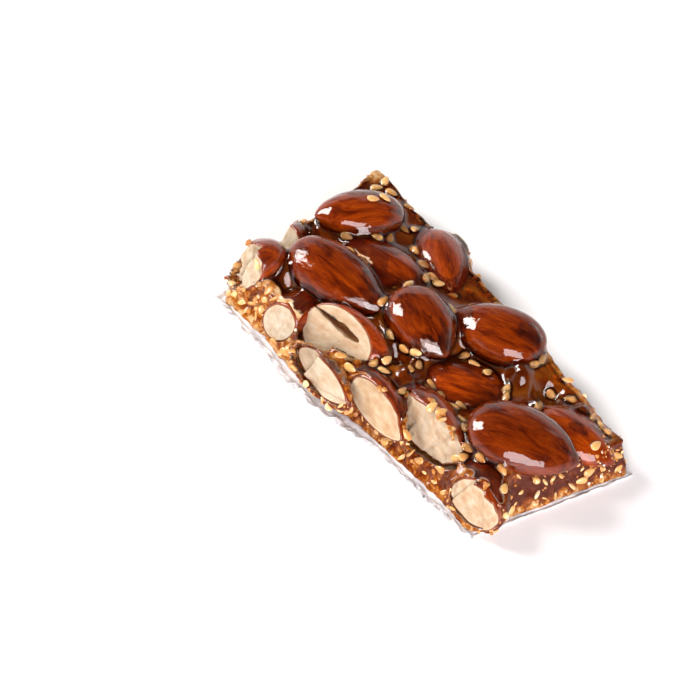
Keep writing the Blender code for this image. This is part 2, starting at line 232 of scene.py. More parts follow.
def smooth_min(a, b, k):
    h = np.maximum(k - np.abs(a - b), 0.0) / k
    return np.minimum(a, b) - h * h * h * k / 6.0


def smooth_max(a, b, k):
    return -smooth_min(-a, -b, k)


def smoothstep(low, high, value):
    t = np.clip((value - low) / (high - low), 0.0, 1.0)
    return t * t * (3 - 2 * t)


def egg_distance(q, a, b, c):
    """About the distance from an egg whose half sizes may change from point to point."""
    x, y, z = q[:, 0], q[:, 1], q[:, 2]
    k0 = np.sqrt((x / a) ** 2 + (y / b) ** 2 + (z / c) ** 2) + 1e-9
    k1 = np.sqrt((x / a**2) ** 2 + (y / b**2) ** 2 + (z / c**2) ** 2) + 1e-9
    return k0 * (k0 - 1) / k1


def unit(v):
    return v / (np.linalg.norm(v) + 1e-9)


def heading_of(degrees):
    return np.array((math.cos(math.radians(degrees)), math.sin(math.radians(degrees)), 0.0))


# -------- almonds


def turn_of(almond):
    turn = (
        Matrix.Rotation(math.radians(almond.yaw), 3, "Z")
        @ Matrix.Rotation(math.radians(almond.pitch), 3, "Y")
        @ Matrix.Rotation(math.radians(almond.roll), 3, "X")
    )
    return np.array(turn)


def middle_of(almond):
    return np.array((almond.x, almond.y, almond.z))


def half_sizes(almond, c):
    """Half the width and thickness scale at a share of the length, from -1 (round end) to 1 (tip)."""
    tip = np.maximum(1 - c * c, 0.02) ** (0.5 * ALMOND_POINT * np.maximum(c, 0.0))
    across = almond.width / 2 * (1 - ALMOND_TAPER * c) * tip
    through = almond.thickness / 2 * (1 - 0.5 * ALMOND_TAPER * c) * tip
    return across, through


def almond_distance(almond, p):
    """About the distance from the skin of the uncut almond."""
    q = (p - middle_of(almond)) @ turn_of(almond)
    reach = almond.length / 2
    across, through = half_sizes(almond, np.clip(q[:, 0] / reach, -1.0, 1.0))
    return egg_distance(q, reach, across, through)


def cut_normal(cut):
    facing, lean = math.radians(cut.facing), math.radians(cut.lean)
    return np.array((math.cos(facing) * math.cos(lean), math.sin(facing) * math.cos(lean), math.sin(lean)))


def cut_distance(almond, p):
    """How far a point is beyond the almond's cuts, as a smooth union of what they take away."""
    worst = None
    for cut in almond.cuts:
        beyond = (p - middle_of(almond)) @ cut_normal(cut) - cut.distance
        worst = beyond if worst is None else smooth_max(worst, beyond, 0.4)
    return worst


def face_axes(almond):
    """Axes of the almond's first cut: along the almond, across, and out of the face."""
    out = cut_normal(almond.cuts[0])
    along = turn_of(almond)[:, 0]
    along = along - out * (along @ out)
    along /= np.linalg.norm(along)
    return np.stack((along, np.cross(out, along), out), axis=1)


def steps_down(almond, q):
    """How far the steps of a torn face fall at points given along, across and out of it."""
    fall = np.zeros(len(q))
    for step in almond.steps:
        way = math.radians(step.way)
        beyond = q[:, 0] * math.cos(way) + q[:, 1] * math.sin(way) - step.at
        groove = step.groove * np.exp(-((beyond / GROOVE_WIDTH) ** 2))
        fall += step.drop * smoothstep(-step.width, step.width, beyond) + groove
    return fall


def face_seed(almond):
    return int(almond.x * 5 + 700)


def face_distance(almond, p):
    """How far a point is beyond an almond's cuts as they were torn."""
    seed = face_seed(almond)
    torn = noise(p, 3.2, seed) + 0.4 * noise(p, 1.2, seed + 1) + 0.5 * np.abs(noise(p, 1.6, seed + 3))
    fall = steps_down(almond, (p - middle_of(almond)) @ face_axes(almond))
    return cut_distance(almond, p) + almond.rough * torn + fall


class Slot(NamedTuple):
    """A gap between an almond's halves: its middle on the face, its half sizes, and its turn in degrees."""

    along: float
    across: float
    length: float
    width: float
    depth: float
    turn: float


SLOTS = {"almond_cut_hollow": Slot(-3.0, 2.5, 6.9, 0.85, 4.6, -12.0)}


def slot_distance(almond, p):
    """The distance from the ragged gap between an opened almond's halves."""
    slot = SLOTS[almond.name]
    at = np.array((slot.along, slot.across, almond.cuts[0].distance))
    q = (p - middle_of(almond)) @ face_axes(almond) - at
    c, s, _ = heading_of(slot.turn)
    q = np.stack((c * q[:, 0] + s * q[:, 1], c * q[:, 1] - s * q[:, 0], q[:, 2]), axis=1)
    wider = 1 + 0.5 * np.clip(q[:, 0] / slot.length, -1, 1)
    ragged = slot.width * wider + 0.22 * noise(p, 1.3, face_seed(almond) + 2)
    return egg_distance(q, slot.length, ragged, slot.depth)


# -------- slab


def corner(name, rise):
    x, y = CORNERS[name]
    x = x + (LEAN["left"] if "left" in name else -LEAN["right"]) * rise
    y = y + (LEAN["front"] if "front" in name else -LEAN["back"]) * rise
    return x, y


def front_bulge(t):
    return FRONT_BULGE * np.exp(-(((t - FRONT_BULGE_AT) / FRONT_BULGE_WIDTH) ** 2))


def side_distance(p):
    """The distance outside the slab's four cut sides, before their roughness."""
    x, y, z = p[:, 0], p[:, 1], p[:, 2]
    rise = np.clip((z - FOOT) / (TOP - FOOT), 0.0, 1.6)
    fl, fr, br, bl = (corner(name, rise) for name in CORNERS)

    def along(value, axis, first, second):
        t = np.clip((value - first[axis]) / (second[axis] - first[axis]), -0.2, 1.2)
        return first[1 - axis] + (second[1 - axis] - first[1 - axis]) * t, t

    front, t = along(x, 0, fl, fr)
    front = front - front_bulge(t)
    back, _ = along(x, 0, bl, br)
    left, _ = along(y, 1, fl, bl)
    right, _ = along(y, 1, fr, br)
    ends = smooth_max((left - x) * 0.98, (x - right) * 0.9, 0.5)
    faces = smooth_max((front - y) * 0.86, (y - back) * 0.99, 0.5)
    return smooth_max(ends, faces, 1.2)


def surface_height(p):
    """The caramel's top between the almonds."""
    flat = p.copy()
    flat[:, 2] = 3.0
    height = TOP + 1.0 + 0.8 * noise(flat, 9.0, 5) + 0.25 * noise(flat, 3.6, 6)
    for places, way, level in ((PITS, -1, 0.15), (MOUNDS, 1, 0.0)):
        for x, y, radius, most in places:
            away = np.hypot(p[:, 0] - x, p[:, 1] - y) / radius
            height = height + way * most * (1 - smoothstep(level, 1.0, away))
    return height


class Patch:
    """Points with their bounds, so that shapes far from all of them are passed over."""

    def __init__(self, p):
        self.p = p
        self.columns = [np.ascontiguousarray(p[:, k]) for k in range(3)]
        self.low = [float(c.min()) for c in self.columns]
        self.high = [float(c.max()) for c in self.columns]

    def near(self, at, reach):
        """The numbers of the points within a reach of a place along each axis."""
        if any(self.low[k] > at[k] + reach or self.high[k] < at[k] - reach for k in range(3)):
            return ()
        x, y, z = self.columns
        close = np.flatnonzero(np.abs(x - at[0]) < reach)
        close = close[np.abs(y[close] - at[1]) < reach]
        return close[np.abs(z[close] - at[2]) < reach]

    def near_almonds(self, almonds, margin):
        """Each almond that has points near it, with their numbers and the points themselves."""
        for almond in almonds:
            close = self.near(middle_of(almond), almond.length / 2 + margin)
            if len(close):
                yield almond, close, self.p[close]

    def near_seeds(self, seeds):
        """The numbers of the points near each grain, and their distances from it."""
        for at, turn, size, _ in seeds:
            close = self.near(at, SEED_REACH)
            if len(close):
                yield close, seed_distance(self.p[close], at, turn, size)


def rough_side_distance(p):
    """The cut sides, drawn out round the almonds that they cut, and broken into small dished faces."""
    side = side_distance(p)
    for almond, close, q in Patch(p).near_almonds(OPENED, 4.0):
        collar = smooth_max(almond_distance(almond, q) - 0.8, cut_distance(almond, q) + 0.35, 0.5)
        side[close] = smooth_min(side[close], collar, 2.6)
    close = side > -2.5
    if close.any():
        q = p[close]
        smooth = smoothstep(38.0, 45.0, q[:, 0])
        chips = (0.55 - 0.85 * shards(q, 3.1, 22)) * (1 - 0.6 * smooth)
        grit = (0.12 + 0.3 * crumbly(q)) * (1 - 0.5 * smooth) * noise(q, 1.1, 23)
        side[close] += 0.3 * noise(q, 5.0, 21) + chips + grit
    return side


def caramel_distance(p, seeds=()):
    """The clear body: drawn up round each almond, cut off at rough sides and clear of the kernels."""
    d = p[:, 2] - surface_height(p)
    d = smooth_max(d, UNDERSIDE - p[:, 2], 0.3)
    patch = Patch(p)
    for almond, close, q in patch.near_almonds(ALMONDS, 5.0):
        climb = 2.6 if almond.cuts else almond.climb
        d[close] = smooth_min(d[close], almond_distance(almond, q) - almond.veil, climb)
    for close, away in patch.near_seeds(seeds):
        d[close] = smooth_min(d[close], away + 0.05, 0.9)
    d = smooth_max(d, rough_side_distance(p), 0.5)
    for almond, close, q in patch.near_almonds(OPENED, 1.5):
        skin = almond_distance(almond, q)
        open_space = smooth_max(skin - 0.1, -face_distance(almond, q) - 0.3, 0.3)
        d[close] = smooth_max(d[close], -open_space, 0.35)
        if almond.name in SLOTS:
            gap = smooth_max(slot_distance(almond, q) - 0.15, skin + 0.1, 0.1)
            d[close] = smooth_max(d[close], -gap, 0.1)
    return smooth_max(d, UNDERSIDE - p[:, 2], 0.2)


# -------- meshes


def in_parts(distance, p, size=30000):
    """A distance worked out a part at a time, so that each part meets only the shapes near it."""
    return np.concatenate([distance(p[k : k + size]) for k in range(0, len(p), size)])


def slope(distance, p, step=0.35):
    """The gradient of a distance, from its differences."""
    parts = []
    for axis in range(3):
        shift = np.zeros(3)
        shift[axis] = step
        parts.append((in_parts(distance, p + shift) - in_parts(distance, p - shift)) / (2 * step))
    return np.stack(parts, axis=1)


def settle(distance, p, turns=2, most=0.25):
    """Moves points onto the surface."""
    for _ in range(turns):
        d = in_parts(distance, p)
        step = 0.03
        g = np.stack([(in_parts(distance, p + step * np.eye(3)[k]) - d) / step for k in range(3)], axis=1)
        move = d[:, None] * g / np.maximum((g * g).sum(axis=1), 0.05)[:, None]
        long = np.maximum(np.linalg.norm(move, axis=1) / most, 1.0)
        p = p - move / long[:, None]
    return p


def surface_net(distance, low, high, step):
    """(points, quads) of the surface where the distance is 0, in a box."""
    low, high = np.array(low, float), np.array(high, float)
    count = np.ceil((high - low) / step).astype(int) + 1
    grids = np.meshgrid(*[low[k] + step * np.arange(count[k]) for k in range(3)], indexing="ij")
    points = np.stack(grids, axis=-1).reshape(-1, 3)
    values = in_parts(distance, points).reshape(count)
    inside = values < 0
    corners = list(itertools.product((0, 1), repeat=3))
    held = np.zeros(count - 1, int)
    for a, b, c in corners:
        held += inside[a : count[0] - 1 + a, b : count[1] - 1 + b, c : count[2] - 1 + c]
    mixed = (held > 0) & (held < 8)
    index = np.full(count - 1, -1)
    index[mixed] = np.arange(mixed.sum())
    cells = np.argwhere(mixed)
    place = np.zeros((len(cells), 3))
    crossings = np.zeros(len(cells))
    for a in corners:
        for axis in range(3):
            if a[axis]:
                continue
            b = list(a)
            b[axis] = 1
            va = values[tuple((cells + np.array(a)).T)]
            vb = values[tuple((cells + np.array(b)).T)]
            crossed = (va < 0) != (vb < 0)
            t = np.where(crossed, va / np.where(crossed, va - vb, 1.0), 0.0)
            at = np.array(a) + t[:, None] * (np.array(b) - np.array(a))
            place[crossed] += at[crossed]
            crossings[crossed] += 1
    place = low + step * (cells + place / crossings[:, None])
    quads = []
    for axis in range(3):
        u, v = [k for k in range(3) if k != axis]
        first = inside.take(range(count[axis] - 1), axis)
        second = inside.take(range(1, count[axis]), axis)
        edges = np.argwhere(first != second)
        for k in (u, v):
            edges = edges[(edges[:, k] > 0) & (edges[:, k] < count[k] - 1)]
        ring = []
        for du, dv in ((-1, -1), (0, -1), (0, 0), (-1, 0)):
            cell = edges.copy()
            cell[:, u] += du
            cell[:, v] += dv
            ring.append(index[tuple(cell.T)])
        ring = np.stack(ring, axis=1)
        out = first[tuple(edges.T)] == (axis != 1)
        quads.append(np.where(out[:, None], ring, ring[:, ::-1]))
    return place, np.concatenate(quads)


def add_object(name, data):
    obj = bpy.data.objects.new(name, data)
    bpy.context.scene.collection.objects.link(obj)
    return obj


def mesh_piece(name, points, faces, finish, values=None, smooth=True):
    """Makes an object of points in millimetres, with a value at each point for each name in values."""
    mesh = bpy.data.meshes.new(name)
    mesh.from_pydata((np.asarray(points) * MM).tolist(), [], [list(map(int, face)) for face in faces])
    for key, numbers in (values or {}).items():
        numbers = np.asarray(numbers, np.float32)
        kind, field = ("FLOAT_VECTOR", "vector") if numbers.ndim == 2 else ("FLOAT", "value")
        mesh.attributes.new(key, kind, "POINT").data.foreach_set(field, numbers.ravel())
    if smooth:
        mesh.shade_smooth()
    mesh.validate()
    mesh.materials.append(finish)
    return add_object(name, mesh)


def merge_flat(obj, height):
    """Joins an object's faces at and under a height, which are flat and out of sight, into few."""
    shape = bmesh.new()
    shape.from_mesh(obj.data)
    low = [v for v in shape.verts if v.co.z < height * MM]
    edges = [e for e in shape.edges if all(v.co.z < height * MM for v in e.verts)]
    bmesh.ops.dissolve_limit(shape, angle_limit=math.radians(4), verts=low, edges=edges)
    shape.to_mesh(obj.data)
    shape.free()


def band_faces(rows, sides):
    """Quads between rows of points that go round, each row after the last."""
    faces = []
    for row in range(0, (rows - 1) * sides, sides):
        for side in range(sides):
            after = (side + 1) % sides
            faces.append((row + side, row + sides + side, row + sides + after, row + after))
    return faces


def keep_main_body(points, faces):
    """Drops the small loose bodies of a mesh of quads."""
    label = np.arange(len(points))
    while True:
        least = label[faces].min(axis=1)
        new = label.copy()
        for k in range(faces.shape[1]):
            np.minimum.at(new, faces[:, k], least)
        new = new[new]
        if (new == label).all():
            break
        label = new
    main = np.bincount(label[faces[:, 0]]).argmax()
    faces = faces[label[faces[:, 0]] == main]
    used = np.unique(faces)
    back = np.full(len(points), -1)
    back[used] = np.arange(len(used))
    return points[used], back[faces]


# -------- materials


class Nodes:
    """A node tree, with short calls to add and join nodes."""

    def __init__(self, tree):
        self.tree = tree

    def node(self, kind, inputs=(), **settings):
        made = self.tree.nodes.new(kind)
        for key, value in settings.items():
            setattr(made, key, value)
        for key, value in dict(inputs).items():
            self.give(made.inputs[key], value)
        return made

    def link(self, a, b):
        self.tree.links.new(a, b)

    def give(self, socket, value):
        """Links a node's output to a socket, or sets a constant on it."""
        if isinstance(value, bpy.types.NodeSocket):
            self.link(value, socket)
        elif isinstance(value, tuple) and socket.type == "RGBA":
            socket.default_value = (*value, 1.0)
        else:
            socket.default_value = value

    def attribute(self, name, output="Fac"):
        return self.node("ShaderNodeAttribute", attribute_name=name).outputs[output]

    def stretched(self, vector, scale, stretch):
        inputs = {"Vector": vector, "Scale": [scale * s for s in stretch]}
        return self.node("ShaderNodeMapping", inputs).outputs["Vector"]

    def position(self, stretch=(1, 1, 1)):
        """The place in millimetres."""
        return self.stretched(self.node("ShaderNodeTexCoord").outputs["Object"], 1 / MM, stretch)

    def lie(self, stretch):
        """The place in an almond's own axes, with X along it."""
        return self.stretched(self.attribute("lie", "Vector"), 1.0, stretch)

    def noise(self, vector, scale, detail=3.0, rough=0.55, warp=0.0):
        inputs = {"Vector": vector, "Scale": scale, "Detail": detail, "Roughness": rough, "Distortion": warp}
        return self.node("ShaderNodeTexNoise", inputs).outputs["Fac"]

    def math(self, operation, *values):
        return self.node("ShaderNodeMath", enumerate(values), operation=operation).outputs[0]

    def mix(self, factor, a, b, how="MIX"):
        inputs = {0: factor, 6: a, 7: b}
        return self.node("ShaderNodeMix", inputs, data_type="RGBA", blend_type=how).outputs[2]

    def ramp(self, value, stops):
        """A colour or a grey for a number, from stops that each give a place and a colour or a grey."""
        made = self.node("ShaderNodeValToRGB", {"Fac": value})
        elements = made.color_ramp.elements
        while len(elements) > 1:
            elements.remove(elements[-1])
        for number, (at, colour) in enumerate(stops):
            element = elements.new(at) if number else elements[0]
            element.position = at
            element.color = (*colour, 1.0) if isinstance(colour, tuple) else (colour, colour, colour, 1.0)
        return made.outputs["Color"]

    def speckle(self, vector, scale, low, high, detail=3.0):
        """Noise as a colour from one to another."""
        return self.ramp(self.noise(vector, scale, detail), ((0.3, low), (0.7, high)))

    def bump(self, height, strength, distance):
        inputs = {"Height": height, "Strength": strength, "Distance": distance}
        return self.node("ShaderNodeBump", inputs).outputs["Normal"]


class Shader(Nodes):
    """A new material and its Principled shader."""

    def __init__(self, name):
        self.material = bpy.data.materials.new(name)
        self.material.use_nodes = True
        super().__init__(self.material.node_tree)
        self.main = self.tree.nodes["Principled BSDF"]
        self.out = self.tree.nodes["Material Output"]

    def set(self, **values):
        """Gives the shader's inputs their values, each named with _ for a space."""
        for key, value in values.items():
            self.give(self.main.inputs[key.replace("_", " ")], value)


def skin_colour(s):
    """Red-brown skin with darker streaks along the almond."""
    fine = s.noise(s.lie((0.15, 1.2, 1.2)), 1.0, 6.0, 0.68, 1.1)
    broad = s.noise(s.lie((0.08, 0.34, 0.34)), 1.0, 4.0, 0.6, 1.2)
    streaks = s.ramp(fine, (
        (0.3, (0.112, 0.0112, 0.0006)), (0.5, (0.202, 0.023, 0.0008)), (0.7, (0.285, 0.042, 0.0014)),
    ))
    patches = s.ramp(broad, ((0.34, (0.42, 0.34, 0.32)), (0.46, (0.84, 0.80, 0.78)), (0.62, (1.2, 1.3, 1.2))))
    colour = s.mix(1.0, s.mix(1.0, streaks, patches, "MULTIPLY"), s.attribute("tone"), "MULTIPLY")
    return colour, fine


def glaze_bump(s):
    """The glaze's slow swells, and the fine wrinkles that break up the light on some almonds."""
    swell = s.noise(s.position(), 0.26, 2.5, 0.45)
    fine = s.noise(s.lie((0.45, 1.0, 1.0)), 0.75, 3.0, 0.55, 0.5)
    return s.bump(s.math("MULTIPLY_ADD", fine, s.attribute("wrinkle"), swell), 0.5, 0.0006)


def skin_material():
    s = Shader("glazed_skin")
    colour, fine = skin_colour(s)
    s.set(Base_Color=colour, Normal=s.bump(fine, 0.3, 0.0002), Coat_Normal=glaze_bump(s))
    s.set(Roughness=0.5, IOR=1.06, Coat_Weight=1.0, Coat_Roughness=0.03, Coat_IOR=1.5)
    return s.material


def opened_material():
    """Skin outside, cream kernel where the depth under the skin passes the skin's thickness."""
    s = Shader("opened_almond")
    depth = s.attribute("depth")
    colour, fine = skin_colour(s)
    grain = s.noise(s.lie((0.5, 1.2, 1.2)), 0.5, 4.0, 0.6)
    peach = s.ramp(grain, (
        (0.3, (0.39, 0.215, 0.105)), (0.5, (0.46, 0.31, 0.18)), (0.72, (0.53, 0.415, 0.28)),
    ))
    white = s.ramp(grain, (
        (0.3, (0.39, 0.28, 0.175)), (0.5, (0.455, 0.362, 0.26)), (0.72, (0.545, 0.475, 0.375)),
    ))
    # Painted highlight: the kernel is made whiter near the skin, round the rim of each torn face.
    rim_highlight_colour = s.ramp(grain, ((0.3, (0.48, 0.355, 0.235)), (0.7, (0.61, 0.51, 0.37))))
    rim = s.ramp(depth, ((0.35, 0.75), (1.7, 0.0)))
    kernel = s.mix(rim, s.mix(s.attribute("pale"), peach, white), rim_highlight_colour)
    # Painted shade: the walls of the gap between an almond's halves are a dark brown, more so deeper in.
    kernel = s.mix(s.attribute("slot_shade"), kernel, (0.30, 0.125, 0.045))
    edge = s.ramp(depth, ((0.0, 0.0), (0.34, 0.0), (0.42, 1.0)))
    line = s.ramp(depth, ((0.0, 0.0), (0.1, 0.0), (0.16, 1.0)))
    skin = s.mix(line, colour, (0.20, 0.07, 0.03))
    pits = s.noise(s.lie((0.6, 1.3, 1.3)), 1.1, 6.0, 0.7)
    s.set(
        Base_Color=s.mix(edge, skin, kernel),
        Roughness=s.ramp(depth, ((0.0, 0.3), (0.1, 0.3), (0.3, 0.62))),
        Coat_Weight=s.ramp(depth, ((0.0, 1.0), (0.08, 1.0), (0.2, 0.0))),
        Normal=s.bump(s.mix(0.6, fine, pits), 0.75, 0.0004),
        Coat_Normal=glaze_bump(s),
    )
    s.set(IOR=1.2, Coat_Roughness=0.03, Coat_IOR=1.5, Subsurface_Weight=0.25, Subsurface_Scale=0.0012)
    s.set(Subsurface_Radius=(1.0, 0.6, 0.35))
    return s.material


def caramel_material():
    """Clear amber: it absorbs light along its way through, so thick caramel is dark and thin is golden."""
    s = Shader("amber_caramel")
    cut, deep = s.attribute("cut"), s.attribute("deep")
    chips = s.noise(s.position(), 0.55, 5.0, 0.62, 0.6)
    amber = s.ramp(s.math("MULTIPLY_ADD", s.attribute("edge"), 0.12, chips), (
        (0.39, (0.11, 0.014, 0.0015)), (0.555, (0.27, 0.052, 0.005)),
        (0.665, (0.56, 0.18, 0.018)), (0.79, (0.86, 0.56, 0.27)),
    ))
    pools = s.noise(s.position(), 0.16, 3.0, 0.5, 0.8)
    dark = s.ramp(pools, (
        (0.36, (0.17, 0.02, 0.0008)), (0.5, (0.46, 0.078, 0.003)), (0.68, (0.84, 0.23, 0.014)),
    ))
    near = s.ramp(deep, (
        (0.0, (1.0, 0.97, 0.92)), (0.08, (0.92, 0.66, 0.36)),
        (0.25, (0.78, 0.34, 0.06)), (0.6, (0.52, 0.13, 0.012)),
    ))
    poured = s.mix(s.ramp(deep, ((0.4, 0.0), (0.9, 1.0))), near, dark)
    broken = s.ramp(cut, ((0.2, 0.0), (0.8, 1.0)))
    clear = s.ramp(deep, ((0.0, 1.0), (0.35, 1.0), (1.0, 0.78)))
    ripple = s.noise(s.position(), 0.3, 2.0, 0.5)
    s.set(
        Base_Color=s.mix(broken, poured, amber),
        Transmission_Weight=s.mix(broken, clear, (0.45, 0.45, 0.45)),
        IOR=1.49,
        Roughness=s.ramp(cut, ((0.25, 0.03), (0.8, 0.14))),
        Specular_IOR_Level=s.ramp(cut, ((0.25, 0.5), (0.8, 0.2))),
        Normal=s.bump(ripple, 0.25, 0.0004),
    )
    volume = s.node("ShaderNodeVolumeAbsorption", {"Color": (0.965, 0.87, 0.65), "Density": 1000.0})
    s.link(volume.outputs["Volume"], s.out.inputs["Volume"])
    return s.material


def sesame_material():
    s = Shader("sesame")
    tone = s.ramp(s.attribute("tone"), (
        (0.0, (0.44, 0.15, 0.02)), (0.5, (0.68, 0.35, 0.10)),
        (0.85, (0.78, 0.50, 0.20)), (1.0, (0.88, 0.70, 0.44)),
    ))
    speckle = s.speckle(s.position(), 2.4, (0.82, 0.74, 0.66), (1.0, 1.0, 1.0))
    furrows = s.noise(s.position((0.5, 1.5, 1.5)), 2.0, 3.0)
    s.set(Base_Color=s.mix(1.0, tone, speckle, "MULTIPLY"), Normal=s.bump(furrows, 0.25, 0.0001))
    s.set(Roughness=0.38, Coat_Weight=0.7, Coat_Roughness=0.08, Subsurface_Weight=0.2)
    s.set(Subsurface_Scale=0.0006)
    return s.material


def crumb_material():
    s = Shader("crumbs")
    tone = s.ramp(s.attribute("tone"), (
        (0.0, (0.22, 0.055, 0.006)), (0.45, (0.52, 0.21, 0.035)),
        (0.75, (0.74, 0.50, 0.24)), (1.0, (0.92, 0.84, 0.72)),
    ))
    mottle = s.speckle(s.position(), 1.8, (0.8, 0.72, 0.6), (1.0, 1.0, 1.0), 4.0)
    s.set(Base_Color=s.mix(1.0, tone, mottle, "MULTIPLY"))
    s.set(Roughness=0.45, Subsurface_Weight=0.25, Subsurface_Scale=0.0006)
    return s.material


def wafer_material():
    s = Shader("wafer_paper")
    wide = s.noise(s.position(), 0.25, 4.0, 0.6)
    fine = s.noise(s.position(), 1.4, 4.0, 0.6)
    # Painted shade: the white paper is made a mid grey with darker patches, for the shadow it lies in under
    # the slab and in its folds.
    s.set(
        Base_Color=s.ramp(wide, ((0.3, (0.40, 0.38, 0.39)), (0.6, (0.66, 0.64, 0.64)))),
        Roughness=0.4,
        Normal=s.bump(s.mix(0.5, wide, fine), 0.6, 0.0004),
    )
    return s.material


def floor_material():
    s = Shader("pale_floor")
    s.set(Base_Color=s.speckle(s.position(), 0.02, (0.93, 0.925, 0.92), (0.95, 0.945, 0.94)), Roughness=0.5)
    return s.material


# -------- almond pieces


def egg_mesh(rings, sides, reach, sizes_at):
    """An egg along X: rings of points from the tip at +X, then its two ends, and its faces."""
    along = np.linspace(0, math.pi, rings + 1)[1:-1]
    around = np.linspace(0, 2 * math.pi, sides, endpoint=False)
    c, s = np.cos(along)[:, None], np.sin(along)[:, None]
    across, through = sizes_at(c)
    ring = np.broadcast_arrays(reach * c, across * s * np.cos(around), through * s * np.sin(around))
    body = np.stack(ring, axis=-1).reshape(-1, 3)
    tip, last = len(body), (rings - 2) * sides
    faces = band_faces(rings - 1, sides)
    for side in range(sides):
        after = (side + 1) % sides
        faces += [(tip, side, after), (tip + 1, last + after, last + side)]
    return np.concatenate((body, ((reach, 0, 0), (-reach, 0, 0)))), faces


def whole_almond(almond, finish):
    """A glazed whole almond with shallow furrows along it."""
    half = np.array((almond.length, almond.width, almond.thickness)) / 2
    points, faces = egg_mesh(int(72 / COARSE), int(96 / COARSE), half[0], lambda c: half_sizes(almond, c))
    seed = int(almond.x * 7 + 900)
    furrow = points * np.array((0.16, 1.0, 1.0))
    relief = 0.05 * noise(furrow, 1.1, seed) + 0.07 * noise(furrow, 2.4, seed + 1)
    relief = relief + 0.16 * noise(points, 7.0, seed + 2)
    relief = relief * smoothstep(1.0, 0.86, np.abs(points[:, 0]) / half[0])
    normal = points / half**2
    normal /= np.linalg.norm(normal, axis=1)[:, None]
    points = points + normal * relief[:, None]
    same = np.ones(len(points))
    values = {
        "lie": points + almond.x,
        "tone": same * almond.tone,
        "wrinkle": same * almond.wrinkle,
    }
    placed = points @ turn_of(almond).T + middle_of(almond)
    return mesh_piece(almond.name + "_look", placed, faces, finish, values)


def opened_distance(almond, p):
    """The almond less what its cuts take, with a torn face and, for some, the gap between its halves."""
    d = smooth_max(almond_distance(almond, p), face_distance(almond, p), 0.12)
    if almond.name in SLOTS:
        d = smooth_max(d, -slot_distance(almond, p), 0.25)
    return d


def opened_almond(almond, finish):
    """A cut or broken almond, meshed from its distance, with each point's depth under the skin."""
    turn, middle = turn_of(almond), middle_of(almond)

    def local(q):
        return opened_distance(almond, q @ turn.T + middle)

    half = np.array((almond.length / 2, almond.width / 2 * 1.2, almond.thickness / 2 * 1.2)) + 0.8
    points, faces = surface_net(local, -half, half, ALMOND_STEP)
    points = settle(local, points)
    points, faces = keep_main_body(points, faces)
    placed = points @ turn.T + middle
    same = np.ones(len(points))
    # Painted shade in the gap: strongest near its walls, growing with the depth under the face.
    slot_shade = 0.0 * same
    if almond.name in SLOTS:
        wall = 1 - smoothstep(0.2, 0.5, np.abs(slot_distance(almond, placed)))
        slot_shade = wall * smoothstep(0.2, 2.2, -face_distance(almond, placed))
    values = {
        "lie": points + almond.x,
        "depth": np.clip(-almond_distance(almond, placed), 0, 3),
        "tone": same * almond.tone,
        "pale": same * almond.pale,
        "slot_shade": slot_shade,
        "wrinkle": same * almond.wrinkle,
    }
    return mesh_piece(almond.name + "_look", placed, faces, finish, values)


# -------- sesame


def seed_sizes(c):
    """Half a grain's width and thickness at a share of its length, from -1 (round end) to 1 (sharp end)."""
    taper = 1 - SEED_TAPER * c
    return SEED_SIZE[1] * taper, SEED_SIZE[2] * taper


def seed_distance(p, at, turn, size):
    q = (p - at) @ turn / size
    across, through = seed_sizes(np.clip(q[:, 0] / SEED_SIZE[0], -1, 1))
    return egg_distance(q, SEED_SIZE[0], across, through) * size


def turn_from(normal, heading):
    """Axes with +Z along the normal and +X as near as can be to the heading."""
    z = normal / np.linalg.norm(normal)
    x = heading - z * (heading @ z)
    x /= np.linalg.norm(x) + 1e-9
    return np.stack((x, np.cross(z, x), z), axis=1)


def all_outside(p):
    """The distance from caramel and almonds together."""
    d = caramel_distance(p)
    for almond, close, q in Patch(p).near_almonds(ALMONDS, 2.0):
        body = opened_distance(almond, q) if almond.cuts else almond_distance(almond, q)
        d[close] = np.minimum(d[close], body)
    return d


def nut_distance(p):
    return np.min([almond_distance(almond, p) for almond in ALMONDS], axis=0)


def march(start, way, turns=60):
    """Moves points along their ways to the first surface, and says which ones met it."""
    p = start
    for _ in range(turns):
        p = p + way * np.clip(in_parts(all_outside, p) * 0.8, -0.5, 2.0)[:, None]
    return p, np.abs(in_parts(all_outside, p)) < 0.15


# Grains that stand out in the photograph: where they lie on the slab, and the way each points in degrees.
PLACED_GRAINS = (
    (-37.0, 15.9, 60), (-36.3, 19.0, 10), (-36.5, -17.7, 120), (10.0, 8.0, 20), (13.5, 9.0, 100),
    (16.5, -10.5, 100), (19.0, -10.0, 80), (43.4, 14.8, 100), (-43.5, 23.5, 60), (-44.0, 26.5, 120),
    (-40.5, 25.5, 20), (28.5, -12.5, 70), (25.0, 18.5, 0), (1.5, -11.5, 40), (-0.5, -9.0, 100),
)
# Grains that crowd round an almond's rim: where each lies round it, in degrees.
RIM_GRAINS = {
    "almond_sunken": (180, 150, 105, 45, 30, 12, -5, -55, -92, -115),
    "almond_cut_upper": (105, 65, 40, -5),
    "almond_back_edge": (-50, -62),
    "almond_behind_big": (0, 30),
    "almond_middle": (85, -105, -70, -50),
    "almond_big_back": (175, 162, 5, 18),
    "almond_big_left": (15, 95),
    "almond_cut_hollow": (15, 3, 70),
    "almond_veiled": (80, 65, 5, -15),
    "almond_broken_corner": (150, 95, 55, 40),
    "almond_back_left": (100, 120, -60),
    "almond_big_right": (80, -70, -100),
}


def random_way(rng, most=1.0):
    return np.array([rng.uniform(-most, most) for _ in range(3)])


def clear_of(grains, at, gap):
    return all(np.linalg.norm(at - other[0]) > gap for other in grains)


